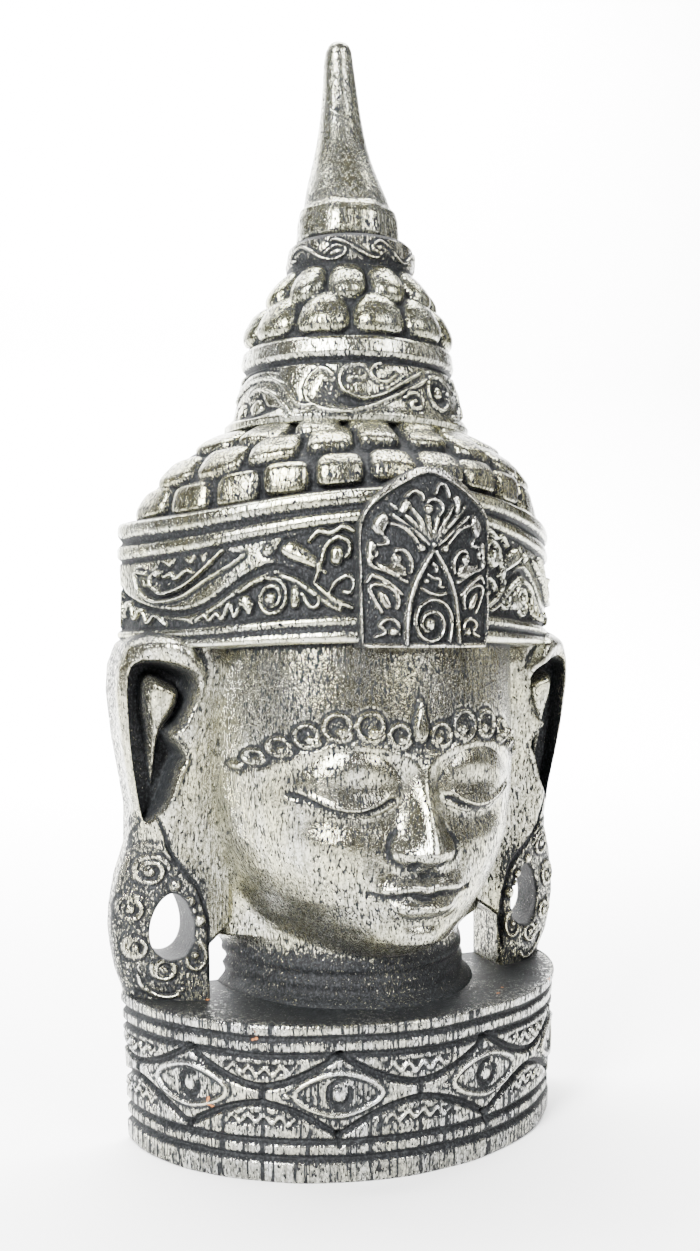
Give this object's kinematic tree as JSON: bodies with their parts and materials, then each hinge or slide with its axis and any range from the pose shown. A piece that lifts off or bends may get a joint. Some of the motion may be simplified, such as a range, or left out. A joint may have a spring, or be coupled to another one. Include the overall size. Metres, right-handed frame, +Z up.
{
  "type": "wooden buddha head",
  "caption": "Calm carved head with long pierced ears and a tall tiered crown, on a half-round stand with a flat back.",
  "frame": {"origin": "middle of the bounding box, on the plane of the underside", "axes": "+Z up, the face looks along -Y, +X to the viewer's right; the flat back is the +Y side"},
  "size_m": [0.2228, 0.104, 0.5],
  "materials": {
    "silver_paint": "carved wood in worn silver paint over black, dark in the grooves and the open pores"
  },
  "bodies": {
    "root": {"buddha_head": "silver_paint"}
  },
  "joints": []
}
